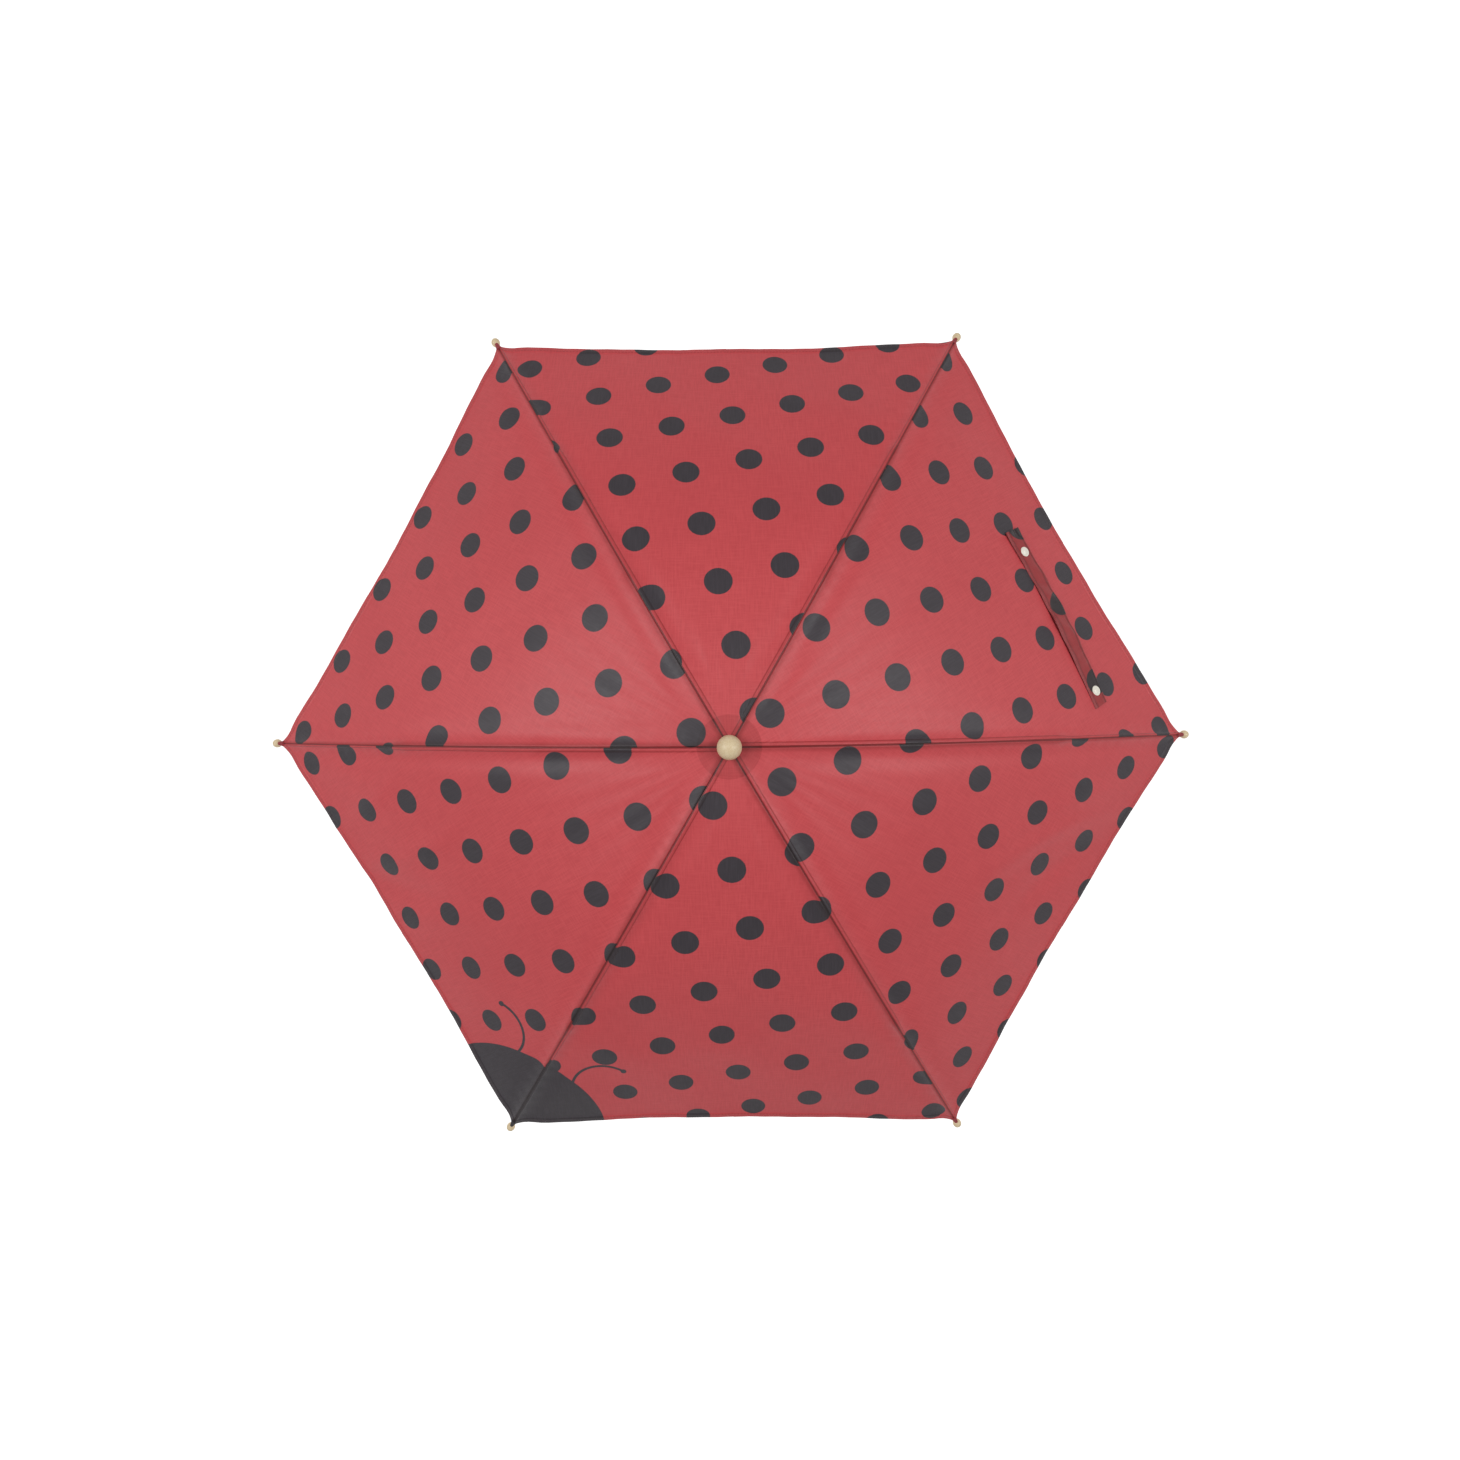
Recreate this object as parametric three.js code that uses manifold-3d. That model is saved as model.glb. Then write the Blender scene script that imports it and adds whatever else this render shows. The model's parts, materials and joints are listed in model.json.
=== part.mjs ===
// A child's three-fold umbrella, open: telescopic shaft, runner, six folding arms and a six-panel canopy.
// Millimetres, +Z up. The origin is the middle of the handle, where a hand holds it.
import * as THREE from "three";
import { mergeVertices } from "three/addons/utils/BufferGeometryUtils.js";
import Module from "manifold-3d";

const wasm = await Module();
wasm.setup();

// Shaft
const HANDLE_LENGTH = 72;
const HANDLE_RADIUS = 14;
const HANDLE_FOOT_RADIUS = 10; // the flat end that the umbrella stands on
const HANDLE_NECK_RADIUS = 9;
const TUBE_TRAVEL = 135; // of each telescopic joint
const TUBE_OVERLAP = 24; // length still inside the next tube when drawn out
const TUBE_WALL = 0.6;
const LOWER_TUBE_RADIUS = 3.2;
const MIDDLE_TUBE_RADIUS = 4.1;
const UPPER_TUBE_RADIUS = 5;
const UPPER_TUBE_LENGTH = 180;
const GAP = 0.3; // clearance between neighbouring pieces
const BALL_RADIUS = 9.5;

// Canopy: drop below the apex along a rib = TIP_RADIUS * (CURVE_2 * u^2 + CURVE_4 * u^4), u = radius / TIP_RADIUS
const ARMS = 6;
const TIP_RADIUS = 430;
const CURVE_2 = 0.414;
const CURVE_4 = -0.0855;
const CLOTH = 0.8;
const CANOPY_START = 7;
const CANOPY_END = 425;
const HEM_HOLLOW = 9; // how far the hem curves in between two tips
const SEAM_GAP = 0.35; // from a rib's plane to the edge of its panel

// Arms. Each piece is drawn with x along it and z to its upper side; slopes are in degrees below horizontal.
const HINGE_RADIUS = 10; // of the crown's hinge pins
const HINGE_DROP = 6.2; // from the apex
const RUNNER_HINGE_RADIUS = 8.4;
const RUNNER_DROP = 75.57; // from the apex to the runner's hinge pins
const TOP_RIB = { length: 142.1, slope: 8.3 };
const MIDDLE_RIB = { length: 141.3, slope: 20.4 };
const OUTER_RIB = { length: 163.4, slope: 25 };
const STRETCHER = { length: 86, slope: -43.17, linkPin: 75.5 };
const DRIVE_LINK = { length: 78.1, slope: 3.26 };
const FOLD_PIN_RISE = 1.8; // of the inner fold's pin above the top rib's middle line
const OUTER_PIN_DROP = 3.8; // of the outer fold's pin below the inner one's line
const ROD_RISE = 2; // of the outer rib's rod above its pin
const STRETCHER_LUG = [62, -1.6]; // on the top rib
const HEEL = [-7.62, -6.48]; // the middle rib's pin for the drive link
const HALF_DEPTH = 1.2; // of the steel channels
const PIN = 0.6; // radius
const PIN_HOLE = 0.9;
const EYE = 1.5;
const INNER_LANE = [1.2, 1.8]; // cheeks of the top rib, either side of the arm's plane
const OUTER_LANE = [2.1, 2.9]; // cheeks of the stretcher and of the middle rib
const LINK_LANE = [3.2, 4];
const PIN_HALF = 3.1;
const ROD_RADIUS = 1.2;
const BEAD_RADIUS = 4;

// Closing strap and its two snap caps, on the panel between the first two arms
const STRAP = { nearHem: 366, farHem: 349, start: 0.127, end: 0.596, lift: 0.3, thickness: 1.2 };
const SNAPS = { radius: 4.6, height: 1.8, places: [0.163, 0.56] };

const HANDLE_TOP = HANDLE_LENGTH / 2;
const MIDDLE_TUBE_BOTTOM = HANDLE_TOP + 1 + TUBE_TRAVEL;
const UPPER_TUBE_BOTTOM = MIDDLE_TUBE_BOTTOM + 1 + TUBE_TRAVEL;
const APEX = UPPER_TUBE_BOTTOM + UPPER_TUBE_LENGTH;

const STEEL = { color: 0xa3a3a5, roughness: 0.35, metalness: 1 };
const BLACK_PLASTIC = { color: 0x1c1c1e, roughness: 0.45, metalness: 0 };
const WOOD = { color: 0xdac39a, roughness: 0.55, metalness: 0 };
const RED_CLOTH = { color: 0xb5353c, roughness: 0.7, metalness: 0 };
const FIBREGLASS = { color: 0x2a2a2c, roughness: 0.5, metalness: 0 };
const CREAM_PLASTIC = { color: 0xe9e3d6, roughness: 0.4, metalness: 0 };

const radians = THREE.MathUtils.degToRad;
const turnOf = (arm) => (2 * Math.PI * arm) / ARMS;

function solidOf(geometry) {
  const bare = geometry.index ? geometry.toNonIndexed() : geometry.clone();
  bare.deleteAttribute("normal");
  bare.deleteAttribute("uv");
  const merged = mergeVertices(bare, 1e-4);
  return new wasm.Manifold(
    new wasm.Mesh({
      numProp: 3,
      vertProperties: merged.attributes.position.array,
      triVerts: new Uint32Array(merged.index.array),
    }),
  );
}

function geometryOf(solid) {
  const result = solid.getMesh();
  return new THREE.BufferGeometry()
    .setAttribute("position", new THREE.BufferAttribute(result.vertProperties, 3))
    .setIndex(new THREE.BufferAttribute(result.triVerts, 1));
}

function joined(pieces, cuts = []) {
  const whole = pieces.map(solidOf).reduce((a, b) => a.add(b));
  return geometryOf(cuts.map(solidOf).reduce((a, b) => a.subtract(b), whole));
}

function piece(name, geometry, look) {
  geometry.computeVertexNormals();
  const made = new THREE.Mesh(geometry, new THREE.MeshStandardMaterial(look));
  made.name = name;
  return made;
}

function bar(x0, x1, z0, z1, y0, y1) {
  const box = new THREE.BoxGeometry(x1 - x0, y1 - y0, z1 - z0);
  return box.translate((x0 + x1) / 2, (y0 + y1) / 2, (z0 + z1) / 2);
}

// A round boss, pin or drill across the arm's plane.
function disc(x, z, radius, y0, y1, sides = 8) {
  return new THREE.CylinderGeometry(radius, radius, y1 - y0, sides).translate(x, (y0 + y1) / 2, z);
}

// A bar with its two ends at given points and half-width.
function arm(x0, z0, x1, z1, half, y0, y1) {
  const length = Math.hypot(x1 - x0, z1 - z0);
  return bar(0, length, -half, half, y0, y1)
    .rotateY(-Math.atan2(z1 - z0, x1 - x0))
    .translate(x0, 0, z0);
}

// What `make` gives for a lane on the +y side and for its mirror image.
function bothCheeks([near, far], make) {
  return [...make(near, far), ...make(-far, -near)];
}

function topRib(name) {
  const { length } = TOP_RIB;
  const cheeks = bothCheeks(INNER_LANE, (y0, y1) => [
    bar(0, length, -HALF_DEPTH, HALF_DEPTH, y0, y1),
    disc(0, 0, EYE, y0, y1),
    disc(length, FOLD_PIN_RISE, 1.3, y0, y1),
    bar(length - 1.3, length + 1.3, 0, FOLD_PIN_RISE, y0, y1),
    disc(...STRETCHER_LUG, 1.2, y0, y1),
  ]);
  const web = bar(4, length - 3, HALF_DEPTH - TUBE_WALL, HALF_DEPTH, -INNER_LANE[1], INNER_LANE[1]);
  const pin = disc(length, FOLD_PIN_RISE, PIN, -PIN_HALF, PIN_HALF, 6);
  return piece(name, joined([...cheeks, web, pin], [disc(0, 0, PIN_HOLE, -3, 3)]), STEEL);
}

function stretcher(name) {
  const { length, linkPin } = STRETCHER;
  const webTop = 2.1;
  const webSpan = [8, 74];
  const cheeks = bothCheeks(OUTER_LANE, (y0, y1) => [
    bar(0, length, -HALF_DEPTH, HALF_DEPTH, y0, y1),
    bar(...webSpan, 0, webTop, y0, y1),
    disc(0, 0, EYE, y0, y1),
    disc(length, 0, EYE, y0, y1),
  ]);
  const web = bar(...webSpan, webTop - TUBE_WALL, webTop, -OUTER_LANE[1], OUTER_LANE[1]);
  const drills = [disc(0, 0, PIN_HOLE, -4, 4), disc(linkPin, 0, PIN_HOLE, -4, 4)];
  return piece(name, joined([...cheeks, web], drills), STEEL);
}

function driveLink(name) {
  const { length } = DRIVE_LINK;
  const half = 1.2;
  const parts = [
    bar(0, length, -half, half, ...LINK_LANE),
    disc(0, 0, half + 0.2, ...LINK_LANE),
    disc(length, 0, half + 0.2, ...LINK_LANE),
    disc(0, 0, PIN, OUTER_LANE[0] - 0.1, LINK_LANE[1] - 0.4, 6),
  ];
  return piece(name, joined(parts), STEEL);
}

function middleRib(name) {
  const { length } = MIDDLE_RIB;
  const bottom = -FOLD_PIN_RISE - HALF_DEPTH;
  const top = -FOLD_PIN_RISE + HALF_DEPTH;
  const ends = [[0, 0], [length, -OUTER_PIN_DROP]];
  const cheeks = bothCheeks(OUTER_LANE, (y0, y1) => [
    bar(0, length, bottom, top, y0, y1),
    ...ends.map(([x, z]) => disc(x, z, EYE, y0, y1)),
  ]);
  const heel = [arm(0, 0, ...HEEL, 1.3, ...OUTER_LANE), disc(...HEEL, 1.4, ...OUTER_LANE)];
  const web = bar(3, length - 4.3, top - TUBE_WALL, top, -OUTER_LANE[1], OUTER_LANE[1]);
  const drills = ends.map(([x, z]) => disc(x, z, PIN_HOLE, -4, 4));
  return piece(name, joined([...cheeks, ...heel, web], drills), STEEL);
}

function outerRib(name) {
  const rod = new THREE.CylinderGeometry(ROD_RADIUS, ROD_RADIUS, OUTER_RIB.length - 2, 8)
    .rotateZ(Math.PI / 2)
    .translate((OUTER_RIB.length + 2) / 2, 0, ROD_RISE);
  const half = OUTER_LANE[0] - GAP;
  const root = [bar(-1.5, 5, 0, 3.2, -half, half), disc(0, 0, EYE, -half, half)];
  const pin = disc(0, 0, PIN, -PIN_HALF, PIN_HALF, 6);
  return piece(name, joined([rod, ...root, pin]), FIBREGLASS);
}

// A solid of revolution around +z from [radius, height] points.
function turned(points, sides) {
  return new THREE.LatheGeometry(points.map(([r, z]) => new THREE.Vector2(r, z)), sides).rotateX(Math.PI / 2);
}

// Points of a sphere from a latitude (radians) up to the pole.
function dome(radius, centre, from, steps) {
  return Array.from({ length: steps }, (_, i) => {
    const latitude = from + ((Math.PI / 2 - from) * (i + 1)) / steps;
    const r = i + 1 === steps ? 0 : radius * Math.cos(latitude);
    return [r, centre + radius * Math.sin(latitude)];
  });
}

// A wooden bead, open towards the rod's end.
function ribTip(name) {
  const bore = ROD_RADIUS + GAP;
  const mouth = -Math.acos(bore / BEAD_RADIUS);
  const depth = -1.5;
  const rim = [bore, BEAD_RADIUS * Math.sin(mouth)];
  const points = [[0, depth], [bore, depth], rim, ...dome(BEAD_RADIUS, 0, mouth, 6)];
  const bead = turned(points, 12).rotateY(Math.PI / 2);
  return piece(name, bead.translate(OUTER_RIB.length + 2, 0, ROD_RISE), WOOD);
}

function crownNotch() {
  const hub = 7;
  const bore = UPPER_TUBE_RADIUS + GAP;
  const profile = [[0, -4], [bore, -4], [bore, -12], [hub, -12], [hub, -2.5], [0, -2.5]];
  const tongue = INNER_LANE[0] - GAP;
  const solids = [turned(profile, 18)];
  for (let i = 0; i < ARMS; i++) {
    const parts = [
      bar(6, HINGE_RADIUS, -HINGE_DROP - 1.5, -HINGE_DROP + 1.5, -tongue, tongue),
      disc(HINGE_RADIUS, -HINGE_DROP, 1.6, -tongue, tongue),
      disc(HINGE_RADIUS, -HINGE_DROP, PIN, -OUTER_LANE[0], OUTER_LANE[0], 6),
    ];
    solids.push(...parts.map((part) => part.rotateZ(turnOf(i))));
  }
  return piece("crown_notch", joined(solids), BLACK_PLASTIC);
}

function ferruleBall() {
  const neck = 5;
  const seat = GAP;
  const centre = 6;
  const latitude = Math.asin((seat - centre) / BALL_RADIUS);
  const shoulder = [BALL_RADIUS * Math.cos(latitude), seat];
  const points = [[0, -2.2], [neck, -2.2], [neck, seat], shoulder, ...dome(BALL_RADIUS, centre, latitude, 8)];
  return piece("ferrule_ball", turned(points, 20), WOOD);
}

function crownRosette() {
  const section = [[5.8, -1.9], [25, -5.2], [25, -4.7], [5.8, -1.4], [5.8, -1.9]];
  return piece("crown_rosette", turned(section, 24), FIBREGLASS);
}

function tube(name, outer, bottom, top) {
  const bore = outer - TUBE_WALL;
  const section = [[bore, bottom], [outer, bottom], [outer, top], [bore, top], [bore, bottom]];
  return piece(name, turned(section, 18), STEEL);
}

// The runner, drawn with its hinge pins at height 0.
const BUTTON = { width: 6, height: 9, centre: -14.5, inner: 7.9, outer: 9.9, pocket: 6.1, azimuth: -Math.PI / 2 };

function runner() {
  const bore = UPPER_TUBE_RADIUS + GAP;
  const collar = 6.6;
  const sleeve = 8.5;
  const rim = 9.6;
  const profile = [
    [bore, -26],
    [rim, -26],
    [rim, -23.5],
    [sleeve, -22.5],
    [sleeve, -3.5],
    [collar, -3.5],
    [collar, 3],
    [bore, 3],
    [bore, -26],
  ];
  const half = OUTER_LANE[0] - GAP;
  const solids = [turned(profile, 18)];
  for (let i = 0; i < ARMS; i++) {
    const parts = [
      bar(5.8, RUNNER_HINGE_RADIUS, -1.6, 1.6, -half, half),
      disc(RUNNER_HINGE_RADIUS, 0, 1.6, -half, half),
      disc(RUNNER_HINGE_RADIUS, 0, PIN, -PIN_HALF, PIN_HALF, 6),
    ];
    solids.push(...parts.map((part) => part.rotateZ(turnOf(i))));
  }
  const pocket = bar(
    BUTTON.pocket,
    12,
    BUTTON.centre - BUTTON.height / 2 - GAP,
    BUTTON.centre + BUTTON.height / 2 + GAP,
    -BUTTON.width / 2 - GAP,
    BUTTON.width / 2 + GAP,
  );
  return piece("runner", joined(solids, [pocket.rotateZ(BUTTON.azimuth)]), BLACK_PLASTIC);
}

function runnerButton() {
  const { width, height, centre, inner, outer, azimuth } = BUTTON;
  const body = bar(inner, outer, centre - height / 2, centre + height / 2, -width / 2, width / 2);
  return piece("runner_button", body.rotateZ(azimuth), WOOD);
}

function handle() {
  const bottom = -HANDLE_LENGTH / 2;
  const bore = LOWER_TUBE_RADIUS + GAP;
  const socket = 15;
  const outline = new THREE.CatmullRomCurve3(
    [
      [12.6, bottom + 2.2],
      [HANDLE_RADIUS, bottom + 14],
      [HANDLE_RADIUS - 0.4, bottom + 30],
      [12, bottom + 48],
      [HANDLE_NECK_RADIUS + 0.9, bottom + 60],
      [HANDLE_NECK_RADIUS, bottom + 65],
    ].map(([r, z]) => new THREE.Vector3(r, z, 0)),
  );
  const side = outline.getPoints(8).map((p) => [p.x, p.y]);
  const points = [
    [0, bottom],
    [HANDLE_FOOT_RADIUS, bottom],
    ...side,
    [HANDLE_NECK_RADIUS, HANDLE_TOP],
    [bore, HANDLE_TOP],
    [bore, socket],
    [0, socket],
  ];
  return piece("handle", turned(points, 20), WOOD);
}

function handleRing() {
  const inner = HANDLE_NECK_RADIUS + GAP;
  const outer = inner + 1;
  const low = HANDLE_TOP - 6;
  const high = HANDLE_TOP - 0.5;
  const section = [[inner, low], [outer, low], [outer, high], [inner, high], [inner, low]];
  return piece("handle_ring", turned(section, 20), STEEL);
}

// Height of the canopy's outer face above the apex, from the distance out measured along a rib.
function clothHeight(s) {
  const u = s / TIP_RADIUS;
  return -TIP_RADIUS * (CURVE_2 * u ** 2 + CURVE_4 * u ** 4);
}

// A point of the panel between the first two arms: distance s along the ribs, share t from the first to the second.
function clothPoint(s, t, below) {
  const x = s * (1 - t + t * Math.cos(turnOf(1)));
  const y = s * t * Math.sin(turnOf(1));
  return new THREE.Vector3(x, y, clothHeight(s) - below);
}

// A closed slab on the panel. at(i, j) gives [s, t] of row i and column j.
function clothSlab(rows, columns, at, top, bottom) {
  const corners = [top, bottom].map((below) =>
    Array.from({ length: rows + 1 }, (_, i) =>
      Array.from({ length: columns + 1 }, (_, j) => clothPoint(...at(i, j), below)),
    ),
  );
  const [upper, lower] = corners;
  const points = [];
  const quad = (a, b, c, d) => points.push(a, b, c, a, c, d);
  for (let i = 0; i < rows; i++) {
    for (let j = 0; j < columns; j++) {
      quad(upper[i][j], upper[i + 1][j], upper[i + 1][j + 1], upper[i][j + 1]);
      quad(lower[i][j], lower[i][j + 1], lower[i + 1][j + 1], lower[i + 1][j]);
    }
    quad(upper[i + 1][0], upper[i][0], lower[i][0], lower[i + 1][0]);
    quad(upper[i][columns], upper[i + 1][columns], lower[i + 1][columns], lower[i][columns]);
  }
  for (let j = 0; j < columns; j++) {
    quad(upper[0][j], upper[0][j + 1], lower[0][j + 1], lower[0][j]);
    quad(upper[rows][j + 1], upper[rows][j], lower[rows][j], lower[rows][j + 1]);
  }
  return new THREE.BufferGeometry().setFromPoints(points);
}

function gore(name) {
  const rows = 8;
  const columns = 6;
  const at = (i, j) => {
    const share = j / columns;
    const end = CANOPY_END - HEM_HOLLOW * 4 * share * (1 - share);
    const s = CANOPY_START + (end - CANOPY_START) * (i / rows);
    const inset = SEAM_GAP / s / Math.sin(turnOf(1));
    return [s, inset + (1 - 2 * inset) * share];
  };
  return piece(name, clothSlab(rows, columns, at, 0, CLOTH), RED_CLOTH);
}

function closingStrap() {
  const { nearHem, farHem, start, end, lift, thickness } = STRAP;
  const at = (i, j) => [farHem + (nearHem - farHem) * i, start + ((end - start) * j) / 6];
  return piece("closing_strap", clothSlab(1, 6, at, -lift - thickness, -lift), RED_CLOTH);
}

function snapCap(name, share) {
  const s = (STRAP.nearHem + STRAP.farHem) / 2;
  const step = 0.5;
  const slope = Math.atan2(clothHeight(s - step) - clothHeight(s + step), 2 * step * Math.cos(turnOf(0.5)));
  const cap = new THREE.CylinderGeometry(SNAPS.radius - 0.6, SNAPS.radius, SNAPS.height, 12)
    .rotateX(Math.PI / 2)
    .translate(0, 0, STRAP.lift + STRAP.thickness + GAP + SNAPS.height / 2)
    .rotateY(slope)
    .rotateZ(turnOf(0.5));
  const made = piece(name, cap, CREAM_PLASTIC);
  made.position.copy(clothPoint(s, share, 0));
  return made;
}

function armGroup(i) {
  const n = i + 1;
  const group = new THREE.Group();
  group.position.z = APEX;
  group.rotation.z = turnOf(i);

  const top = topRib("top_rib_" + n);
  top.position.set(HINGE_RADIUS, 0, -HINGE_DROP);
  top.rotation.y = radians(TOP_RIB.slope);
  const middle = middleRib("middle_rib_" + n);
  middle.position.set(TOP_RIB.length, 0, FOLD_PIN_RISE);
  middle.rotation.y = radians(MIDDLE_RIB.slope - TOP_RIB.slope);
  const outer = outerRib("outer_rib_" + n);
  outer.position.set(MIDDLE_RIB.length, 0, -OUTER_PIN_DROP);
  outer.rotation.y = radians(OUTER_RIB.slope - MIDDLE_RIB.slope);
  outer.add(ribTip("rib_tip_" + n));
  middle.add(outer);
  top.add(middle);

  const strut = stretcher("stretcher_" + n);
  strut.position.set(RUNNER_HINGE_RADIUS, 0, -RUNNER_DROP);
  strut.rotation.y = radians(STRETCHER.slope);
  const link = driveLink("drive_link_" + n);
  link.position.set(STRETCHER.linkPin, 0, 0);
  link.rotation.y = radians(DRIVE_LINK.slope - STRETCHER.slope);
  strut.add(link);

  group.add(top, strut, gore("gore_" + n));
  return group;
}

const umbrella = new THREE.Group();
umbrella.add(
  handle(),
  handleRing(),
  tube("lower_tube", LOWER_TUBE_RADIUS, 16, MIDDLE_TUBE_BOTTOM + TUBE_OVERLAP),
  tube("middle_tube", MIDDLE_TUBE_RADIUS, MIDDLE_TUBE_BOTTOM, UPPER_TUBE_BOTTOM + TUBE_OVERLAP),
);

const crown = new THREE.Group();
crown.position.z = APEX;
const strapCaps = SNAPS.places.map((share, i) => snapCap("snap_cap_" + (i + 1), share));
crown.add(
  tube("upper_tube", UPPER_TUBE_RADIUS, -UPPER_TUBE_LENGTH, -4.3),
  crownNotch(),
  ferruleBall(),
  crownRosette(),
  closingStrap(),
  ...strapCaps,
);

const slider = new THREE.Group();
slider.position.z = APEX - RUNNER_DROP;
slider.add(runner(), runnerButton());
umbrella.add(crown, slider);

for (let i = 0; i < ARMS; i++) umbrella.add(armGroup(i));

export default umbrella;
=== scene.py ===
"""A child's three-fold umbrella with a dotted red canopy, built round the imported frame. Metres, +Z up."""

import json
import math

import bpy
import numpy as np
from mathutils import Matrix, Vector


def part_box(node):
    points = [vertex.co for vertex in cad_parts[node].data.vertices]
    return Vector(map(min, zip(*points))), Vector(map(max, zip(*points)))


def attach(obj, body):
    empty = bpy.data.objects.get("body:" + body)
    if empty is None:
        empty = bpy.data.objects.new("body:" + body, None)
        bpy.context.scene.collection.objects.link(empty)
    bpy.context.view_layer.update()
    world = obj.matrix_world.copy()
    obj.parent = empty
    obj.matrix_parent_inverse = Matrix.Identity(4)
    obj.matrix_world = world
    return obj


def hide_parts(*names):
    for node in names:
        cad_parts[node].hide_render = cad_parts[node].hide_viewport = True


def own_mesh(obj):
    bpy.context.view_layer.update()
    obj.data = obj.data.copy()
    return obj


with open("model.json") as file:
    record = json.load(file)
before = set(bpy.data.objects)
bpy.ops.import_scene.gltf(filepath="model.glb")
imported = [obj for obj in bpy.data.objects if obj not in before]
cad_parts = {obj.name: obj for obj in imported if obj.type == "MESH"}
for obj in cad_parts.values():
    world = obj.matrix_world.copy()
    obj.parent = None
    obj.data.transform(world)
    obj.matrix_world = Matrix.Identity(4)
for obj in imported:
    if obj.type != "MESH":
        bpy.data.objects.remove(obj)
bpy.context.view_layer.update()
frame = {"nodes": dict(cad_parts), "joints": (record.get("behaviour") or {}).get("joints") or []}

# The canopy: its drop along a rib is TIP_RADIUS * (CURVE_2 * u**2 + CURVE_4 * u**4),
# with u = distance / TIP_RADIUS
ARMS = 6
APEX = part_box("gore_1")[1].z
TIP_RADIUS = 0.430
CURVE_2 = 0.414
CURVE_4 = -0.0855
HEM_AT_TIP = 0.425
HEM_HOLLOW = 0.009
CROWN_HOLE = 0.0056
INNER_FOLD = 0.1510
OUTER_FOLD = 0.2822
CLOTH = 0.00035
CLOTH_LIFT = 0.0001
MID = math.pi / ARMS
TAN = math.tan(MID)
COS = math.cos(MID)

# The print: round dots on a square lattice, each panel cut from the cloth at its own place
DOT_RADIUS = 0.0113
DOT_PITCH = 0.0542
PANEL_CUTS = [
    (14.7, 0.30, 0.68),
    (75.8, 0.38, 0.46),
    (46.0, 0.47, 0.33),
    (15.3, 0.63, 0.55),
    (75.0, 0.74, 0.45),
    (43.8, 0.57, 0.69),
]
CORNER_ARM = 4
CORNER_RADIUS = 0.092
FEELER = {"centre": (0.337, 0.058), "radius": 0.030, "half_width": 0.0013, "root_x": 0.346}

SEAM_PRESSED = (1, 1, -1, 1, 1, 1)  # the side of each seam that its allowance is stitched down on
SEAM_INNER = 0.0032
SEAM_OUTER = 0.0022
HEM_FOLD = 0.0055

# How far each zone of cloth parts to either side of its rib when the umbrella is shut, to leave room for the
# steel folded against it
PARTING = {"inner": 0.0062, "middle": 0.0043, "outer": 0.0}
ZONE_GAP = 0.00001


def arm_turn(arm):
    return 2 * math.pi * arm / ARMS


def drop(s):
    u = s / TIP_RADIUS
    return TIP_RADIUS * (CURVE_2 * u**2 + CURVE_4 * u**4)


def steepness(s):
    u = s / TIP_RADIUS
    return 2 * CURVE_2 * u + 4 * CURVE_4 * u**3


def smooth(low, high, value):
    t = np.clip((value - low) / (high - low), 0, 1)
    return t * t * (3 - 2 * t)


# ---------------------------------------------------------------- materials


class Shader:
    """A material's node tree, with short calls for the nodes used here."""

    def __init__(self, name):
        self.material = bpy.data.materials.new(name)
        self.material.use_nodes = True
        self.tree = self.material.node_tree
        self.surface = self.tree.nodes["Principled BSDF"]

    def node(self, kind, inputs=(), **settings):
        made = self.tree.nodes.new(kind)
        for key, value in settings.items():
            setattr(made, key, value)
        for key, value in dict(inputs).items():
            self.put(made.inputs[key], value)
        return made

    def put(self, socket, value):
        if isinstance(value, bpy.types.NodeSocket):
            self.tree.links.new(value, socket)
        else:
            socket.default_value = value

    def math(self, operation, a, b=0.0, c=0.0):
        made = self.node("ShaderNodeMath", operation=operation)
        for socket, value in zip(made.inputs, (a, b, c)):
            self.put(socket, value)
        return made.outputs[0]

    def step(self, low, high, value):
        made = self.node("ShaderNodeMapRange", interpolation_type="SMOOTHSTEP")
        for key, given in (("Value", value), ("From Min", low), ("From Max", high)):
            self.put(made.inputs[key], given)
        return made.outputs[0]

    def mix(self, share, a, b, blend="MIX"):
        made = self.node("ShaderNodeMix", data_type="RGBA", blend_type=blend)
        self.put(made.inputs[0], share)
        self.put(made.inputs[6], a)
        self.put(made.inputs[7], b)
        return made.outputs[2]

    def noise(self, scale, detail=3.0, vector=None, roughness=0.55):
        made = self.node("ShaderNodeTexNoise", {"Scale": scale, "Detail": detail, "Roughness": roughness})
        if vector is not None:
            self.put(made.inputs["Vector"], vector)
        return made.outputs[0]

    def attribute(self, name):
        return self.node("ShaderNodeAttribute", attribute_name=name).outputs["Vector"]

    def split(self, vector):
        return self.node("ShaderNodeSeparateXYZ", {"Vector": vector}).outputs

    def scaled(self, vector, scale):
        made = self.node("ShaderNodeVectorMath", operation="MULTIPLY")
        self.put(made.inputs[0], vector)
        made.inputs[1].default_value = scale
        return made.outputs[0]

    def place(self):
        return self.node("ShaderNodeTexCoord").outputs["Object"]

    def bump(self, height, strength, distance):
        made = self.node("ShaderNodeBump", {"Strength": strength, "Distance": distance, "Height": height})
        self.put(self.surface.inputs["Normal"], made.outputs[0])

    def finish(self, **inputs):
        for key, value in inputs.items():
            self.put(self.surface.inputs[key.replace("_", " ")], value)
        return self.material


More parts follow.
